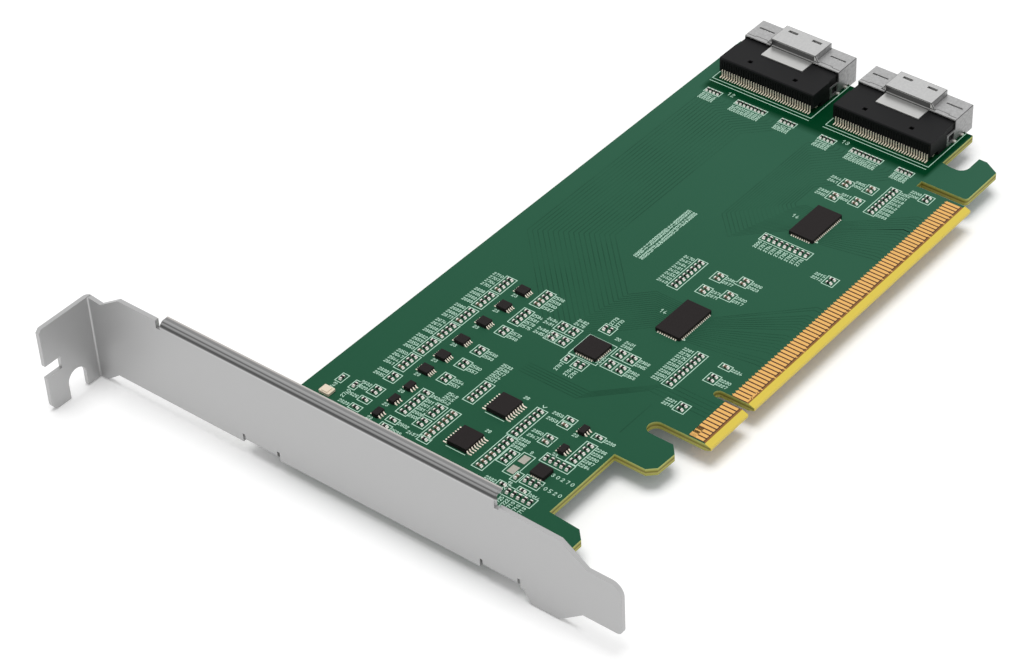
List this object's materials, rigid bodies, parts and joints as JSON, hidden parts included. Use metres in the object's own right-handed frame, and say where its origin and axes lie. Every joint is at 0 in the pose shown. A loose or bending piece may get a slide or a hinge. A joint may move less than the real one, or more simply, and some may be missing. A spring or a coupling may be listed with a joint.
{
  "type": "nvme adapter card",
  "caption": "Low-profile NVMe adapter card with a full-height slot bracket, an edge-contact tongue, signal re-driver chips and right-angle cable receptacles.",
  "frame": {"origin": "centre of the key notch, on the contact edge of the tongue, at the board's mid-plane", "axes": "+X along the board away from the bracket to the cable receptacles, +Y across the board away from the contact edge, +Z out of the component side"},
  "size_m": [0.1653, 0.12, 0.0213],
  "materials": {
    "bracket_steel": "satin",
    "screw_steel": "polished",
    "board_green": "satin solder mask",
    "contact_gold": "gold plated",
    "housing_black": "matt",
    "shell_steel": "tinned",
    "tinned_lead": "tinned",
    "package_black": "matt moulding",
    "led_cream": "translucent",
    "resistor_black": "glazed",
    "capacitor_tan": "ceramic"
  },
  "bodies": {
    "root": {"bracket": "bracket_steel", "bracket_screw_upper": "screw_steel", "bracket_screw_lower": "screw_steel", "circuit_board": "board_green", "edge_contacts_front": "contact_gold", "edge_contacts_back": "contact_gold", "receptacle_a_housing": "housing_black", "receptacle_a_shell": "shell_steel", "receptacle_a_latch_plate": "shell_steel", "receptacle_a_tails": "tinned_lead", "receptacle_a_inner_tails": "tinned_lead", "receptacle_b_housing": "housing_black", "receptacle_b_shell": "shell_steel", "receptacle_b_latch_plate": "shell_steel", "receptacle_b_tails": "tinned_lead", "receptacle_b_inner_tails": "tinned_lead", "redriver_a": "package_black", "redriver_a_terminals": "tinned_lead", "redriver_b": "package_black", "redriver_b_terminals": "tinned_lead", "clock_chip": "package_black", "clock_chip_terminals": "tinned_lead", "regulator": "package_black", "regulator_terminals": "tinned_lead", "logic_chip_a": "package_black", "logic_chip_a_leads": "tinned_lead", "logic_chip_b": "package_black", "logic_chip_b_leads": "tinned_lead", "level_shifters": "package_black", "level_shifter_leads": "tinned_lead", "switch_chips": "package_black", "switch_chip_leads": "tinned_lead", "status_led": "led_cream", "shifter_resistors": "resistor_black", "shifter_capacitors": "capacitor_tan", "logic_resistors": "resistor_black", "logic_capacitors": "capacitor_tan", "clock_resistors": "resistor_black", "redriver_resistors": "resistor_black", "redriver_capacitors": "capacitor_tan", "receptacle_resistors": "resistor_black", "bare_pads": "tinned_lead"}
  },
  "joints": []
}
